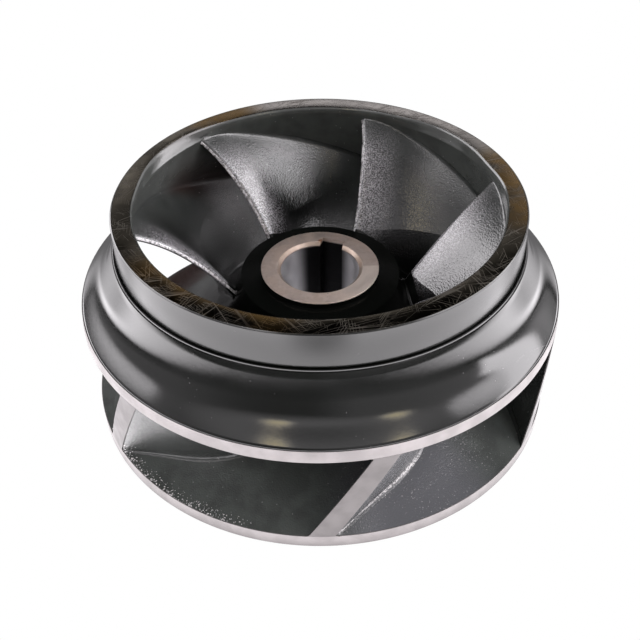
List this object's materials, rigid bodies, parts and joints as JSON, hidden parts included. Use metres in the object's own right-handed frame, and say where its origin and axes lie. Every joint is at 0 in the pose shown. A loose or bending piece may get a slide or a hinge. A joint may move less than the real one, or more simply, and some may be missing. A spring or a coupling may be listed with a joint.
{
  "type": "closed pump impeller",
  "caption": "Closed cast-iron pump impeller with swept vanes, black coat, machined eye ring, hub and rims, and a keyed shaft bore.",
  "frame": {"origin": "on the shaft axis, in the plane of the back face that the impeller stands on", "axes": "+Z along the shaft axis from the back shroud to the eye; +X is level and square to it, with the keyway 72 degrees from it towards +Y"},
  "size_m": [0.242, 0.242, 0.1137],
  "materials": {
    "black_coat": "glossy black coating over rough cast iron",
    "ring_iron": "turned and polished, finely scratched",
    "hub_iron": "turned, matt warm grey",
    "turned_iron": "turned bright, satin"
  },
  "bodies": {
    "root": {"eye_ring": "ring_iron", "front_shroud": "black_coat", "back_shroud": "black_coat", "hub": "hub_iron", "vane_1": "black_coat", "vane_2": "black_coat", "vane_3": "black_coat", "vane_4": "black_coat", "vane_5": "black_coat", "vane_6": "black_coat"}
  },
  "joints": []
}
